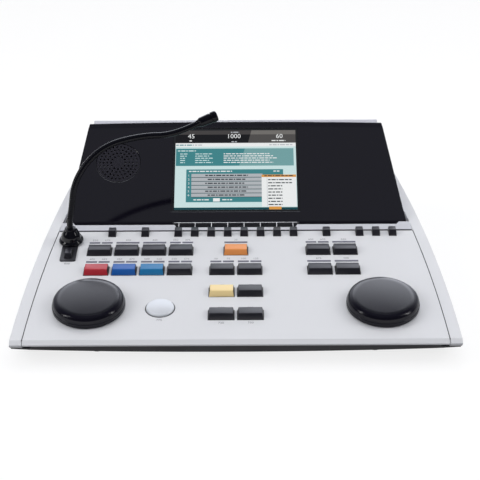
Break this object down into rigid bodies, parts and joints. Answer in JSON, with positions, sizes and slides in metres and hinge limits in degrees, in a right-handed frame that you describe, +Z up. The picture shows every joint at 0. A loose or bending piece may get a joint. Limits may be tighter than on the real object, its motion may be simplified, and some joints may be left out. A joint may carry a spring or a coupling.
{
  "type": "diagnostic audiometer",
  "caption": "Desk-top diagnostic audiometer: low wedge console with press keys, two level dials, a gooseneck microphone and a folding display lid.",
  "frame": {"origin": "on the table, under the middle of the body's width and depth", "axes": "+X to the operator's right, +Y away from the operator, +Z up"},
  "size_m": [0.365, 0.295, 0.1473],
  "materials": {
    "casing_grey": "fine grained",
    "strip_grey": "fine grained",
    "lid_black": "glossy",
    "lid_shell": "satin",
    "screen_glass": "glossy",
    "grille_black": "satin",
    "bare_steel": "satin",
    "foot_rubber": "matte",
    "circuit_board": "satin",
    "bar_smoke": "glossy",
    "base_black": "fine grained",
    "plate_black": "fine grained",
    "boot_black": "glossy",
    "neck_black": "satin",
    "dial_black": "soft touch",
    "button_silver": "satin",
    "key_charcoal": "satin",
    "key_red": "satin",
    "key_blue": "satin",
    "key_light_blue": "satin",
    "key_orange": "satin",
    "key_yellow": "satin"
  },
  "bodies": {
    "console": {"base_pan": "base_black", "control_panel": "casing_grey", "left_side_cheek": "casing_grey", "right_side_cheek": "casing_grey", "rear_housing": "casing_grey", "hinge_strip": "strip_grey", "connector_plate": "plate_black", "rear_sockets": "plate_black", "main_board": "circuit_board", "key_board": "circuit_board", "indicator_bars": "bar_smoke", "feet": "foot_rubber", "hinge_pins": "bare_steel", "talk_plate": "plate_black"},
    "lid": {"display_bezel": "lid_black", "display_back_shell": "lid_shell", "lcd_screen": "screen_glass", "speaker_grille": "grille_black", "loudspeaker": "bare_steel"},
    "microphone": {"mic_boot": "boot_black", "gooseneck": "neck_black", "mic_capsule": "neck_black"},
    "left_dial": {"left_dial": "dial_black"},
    "right_dial": {"right_dial": "dial_black"},
    "power_rocker": {"power_rocker": "plate_black"},
    "function_key_1": {"function_key_1": "key_charcoal"},
    "function_key_2": {"function_key_2": "key_charcoal"},
    "function_key_3": {"function_key_3": "key_charcoal"},
    "function_key_4": {"function_key_4": "key_charcoal"},
    "function_key_5": {"function_key_5": "key_charcoal"},
    "function_key_6": {"function_key_6": "key_charcoal"},
    "function_key_7": {"function_key_7": "key_charcoal"},
    "function_key_8": {"function_key_8": "key_charcoal"},
    "function_key_9": {"function_key_9": "key_charcoal"},
    "function_key_10": {"function_key_10": "key_charcoal"},
    "function_key_11": {"function_key_11": "key_charcoal"},
    "function_key_12": {"function_key_12": "key_charcoal"},
    "function_key_13": {"function_key_13": "key_charcoal"},
    "function_key_14": {"function_key_14": "key_charcoal"},
    "left_key_1": {"left_key_1": "key_charcoal"},
    "left_key_2": {"left_key_2": "key_charcoal"},
    "left_key_3": {"left_key_3": "key_charcoal"},
    "left_key_4": {"left_key_4": "key_charcoal"},
    "left_key_5": {"left_key_5": "key_red"},
    "left_key_6": {"left_key_6": "key_blue"},
    "left_key_7": {"left_key_7": "key_light_blue"},
    "left_key_8": {"left_key_8": "key_charcoal"},
    "centre_key_1": {"centre_key_1": "key_orange"},
    "centre_key_2": {"centre_key_2": "key_charcoal"},
    "centre_key_3": {"centre_key_3": "key_charcoal"},
    "centre_key_4": {"centre_key_4": "key_yellow"},
    "centre_key_5": {"centre_key_5": "key_charcoal"},
    "centre_key_6": {"centre_key_6": "key_charcoal"},
    "centre_key_7": {"centre_key_7": "key_charcoal"},
    "right_key_1": {"right_key_1": "key_charcoal"},
    "right_key_2": {"right_key_2": "key_charcoal"},
    "right_key_3": {"right_key_3": "key_charcoal"},
    "right_key_4": {"right_key_4": "key_charcoal"},
    "talk_key": {"talk_key": "key_charcoal"},
    "round_button": {"round_button": "button_silver"}
  },
  "joints": [
    {"name": "lid_hinge", "type": "hinge", "parent": "console", "child": "lid", "pos_m": [0, 0.02935, 0.04079], "axis": [1, 0, 0], "range_deg": [-29.7, 25]},
    {"name": "microphone_swivel", "type": "hinge", "parent": "console", "child": "microphone", "pos_m": [-0.149, -0.00419, 0.0404], "axis": [0, -0.1305, 0.9914], "range_deg": [-90, 5]},
    {"name": "left_dial_turn", "type": "hinge", "parent": "console", "child": "left_dial", "pos_m": [-0.1228, -0.10085, 0.02768], "axis": [0, -0.1305, 0.9914], "continuous": true},
    {"name": "right_dial_turn", "type": "hinge", "parent": "console", "child": "right_dial", "pos_m": [0.1228, -0.10085, 0.02768], "axis": [0, -0.1305, 0.9914], "continuous": true},
    {"name": "power_rocker_tilt", "type": "hinge", "parent": "console", "child": "power_rocker", "pos_m": [0.11, 0.14098, 0.023], "axis": [1, 0, 0], "range_deg": [0, 16]},
    {"name": "function_key_1_press", "type": "slide", "parent": "console", "child": "function_key_1", "axis": [0, 0.1305, -0.9914], "range_m": [0, 0.001], "stiffness_N_per_m": 400},
    {"name": "function_key_2_press", "type": "slide", "parent": "console", "child": "function_key_2", "axis": [0, 0.1305, -0.9914], "range_m": [0, 0.001], "stiffness_N_per_m": 400},
    {"name": "function_key_3_press", "type": "slide", "parent": "console", "child": "function_key_3", "axis": [0, 0.1305, -0.9914], "range_m": [0, 0.001], "stiffness_N_per_m": 400},
    {"name": "function_key_4_press", "type": "slide", "parent": "console", "child": "function_key_4", "axis": [0, 0.1305, -0.9914], "range_m": [0, 0.001], "stiffness_N_per_m": 400},
    {"name": "function_key_5_press", "type": "slide", "parent": "console", "child": "function_key_5", "axis": [0, 0.1305, -0.9914], "range_m": [0, 0.001], "stiffness_N_per_m": 400},
    {"name": "function_key_6_press", "type": "slide", "parent": "console", "child": "function_key_6", "axis": [0, 0.1305, -0.9914], "range_m": [0, 0.001], "stiffness_N_per_m": 400},
    {"name": "function_key_7_press", "type": "slide", "parent": "console", "child": "function_key_7", "axis": [0, 0.1305, -0.9914], "range_m": [0, 0.001], "stiffness_N_per_m": 400},
    {"name": "function_key_8_press", "type": "slide", "parent": "console", "child": "function_key_8", "axis": [0, 0.1305, -0.9914], "range_m": [0, 0.001], "stiffness_N_per_m": 400},
    {"name": "function_key_9_press", "type": "slide", "parent": "console", "child": "function_key_9", "axis": [0, 0.1305, -0.9914], "range_m": [0, 0.001], "stiffness_N_per_m": 400},
    {"name": "function_key_10_press", "type": "slide", "parent": "console", "child": "function_key_10", "axis": [0, 0.1305, -0.9914], "range_m": [0, 0.001], "stiffness_N_per_m": 400},
    {"name": "function_key_11_press", "type": "slide", "parent": "console", "child": "function_key_11", "axis": [0, 0.1305, -0.9914], "range_m": [0, 0.001], "stiffness_N_per_m": 400},
    {"name": "function_key_12_press", "type": "slide", "parent": "console", "child": "function_key_12", "axis": [0, 0.1305, -0.9914], "range_m": [0, 0.001], "stiffness_N_per_m": 400},
    {"name": "function_key_13_press", "type": "slide", "parent": "console", "child": "function_key_13", "axis": [0, 0.1305, -0.9914], "range_m": [0, 0.001], "stiffness_N_per_m": 400},
    {"name": "function_key_14_press", "type": "slide", "parent": "console", "child": "function_key_14", "axis": [0, 0.1305, -0.9914], "range_m": [0, 0.001], "stiffness_N_per_m": 400},
    {"name": "left_key_1_press", "type": "slide", "parent": "console", "child": "left_key_1", "axis": [0, 0.1305, -0.9914], "range_m": [0, 0.001], "stiffness_N_per_m": 400},
    {"name": "left_key_2_press", "type": "slide", "parent": "console", "child": "left_key_2", "axis": [0, 0.1305, -0.9914], "range_m": [0, 0.001], "stiffness_N_per_m": 400},
    {"name": "left_key_3_press", "type": "slide", "parent": "console", "child": "left_key_3", "axis": [0, 0.1305, -0.9914], "range_m": [0, 0.001], "stiffness_N_per_m": 400},
    {"name": "left_key_4_press", "type": "slide", "parent": "console", "child": "left_key_4", "axis": [0, 0.1305, -0.9914], "range_m": [0, 0.001], "stiffness_N_per_m": 400},
    {"name": "left_key_5_press", "type": "slide", "parent": "console", "child": "left_key_5", "axis": [0, 0.1305, -0.9914], "range_m": [0, 0.001], "stiffness_N_per_m": 400},
    {"name": "left_key_6_press", "type": "slide", "parent": "console", "child": "left_key_6", "axis": [0, 0.1305, -0.9914], "range_m": [0, 0.001], "stiffness_N_per_m": 400},
    {"name": "left_key_7_press", "type": "slide", "parent": "console", "child": "left_key_7", "axis": [0, 0.1305, -0.9914], "range_m": [0, 0.001], "stiffness_N_per_m": 400},
    {"name": "left_key_8_press", "type": "slide", "parent": "console", "child": "left_key_8", "axis": [0, 0.1305, -0.9914], "range_m": [0, 0.001], "stiffness_N_per_m": 400},
    {"name": "centre_key_1_press", "type": "slide", "parent": "console", "child": "centre_key_1", "axis": [0, 0.1305, -0.9914], "range_m": [0, 0.001], "stiffness_N_per_m": 400},
    {"name": "centre_key_2_press", "type": "slide", "parent": "console", "child": "centre_key_2", "axis": [0, 0.1305, -0.9914], "range_m": [0, 0.001], "stiffness_N_per_m": 400},
    {"name": "centre_key_3_press", "type": "slide", "parent": "console", "child": "centre_key_3", "axis": [0, 0.1305, -0.9914], "range_m": [0, 0.001], "stiffness_N_per_m": 400},
    {"name": "centre_key_4_press", "type": "slide", "parent": "console", "child": "centre_key_4", "axis": [0, 0.1305, -0.9914], "range_m": [0, 0.001], "stiffness_N_per_m": 400},
    {"name": "centre_key_5_press", "type": "slide", "parent": "console", "child": "centre_key_5", "axis": [0, 0.1305, -0.9914], "range_m": [0, 0.001], "stiffness_N_per_m": 400},
    {"name": "centre_key_6_press", "type": "slide", "parent": "console", "child": "centre_key_6", "axis": [0, 0.1305, -0.9914], "range_m": [0, 0.001], "stiffness_N_per_m": 400},
    {"name": "centre_key_7_press", "type": "slide", "parent": "console", "child": "centre_key_7", "axis": [0, 0.1305, -0.9914], "range_m": [0, 0.001], "stiffness_N_per_m": 400},
    {"name": "right_key_1_press", "type": "slide", "parent": "console", "child": "right_key_1", "axis": [0, 0.1305, -0.9914], "range_m": [0, 0.001], "stiffness_N_per_m": 400},
    {"name": "right_key_2_press", "type": "slide", "parent": "console", "child": "right_key_2", "axis": [0, 0.1305, -0.9914], "range_m": [0, 0.001], "stiffness_N_per_m": 400},
    {"name": "right_key_3_press", "type": "slide", "parent": "console", "child": "right_key_3", "axis": [0, 0.1305, -0.9914], "range_m": [0, 0.001], "stiffness_N_per_m": 400},
    {"name": "right_key_4_press", "type": "slide", "parent": "console", "child": "right_key_4", "axis": [0, 0.1305, -0.9914], "range_m": [0, 0.001], "stiffness_N_per_m": 400},
    {"name": "talk_key_press", "type": "slide", "parent": "console", "child": "talk_key", "axis": [0, 0.1305, -0.9914], "range_m": [0, 0.001], "stiffness_N_per_m": 400},
    {"name": "round_button_press", "type": "slide", "parent": "console", "child": "round_button", "axis": [0, 0.1305, -0.9914], "range_m": [0, 0.001], "stiffness_N_per_m": 400}
  ]
}
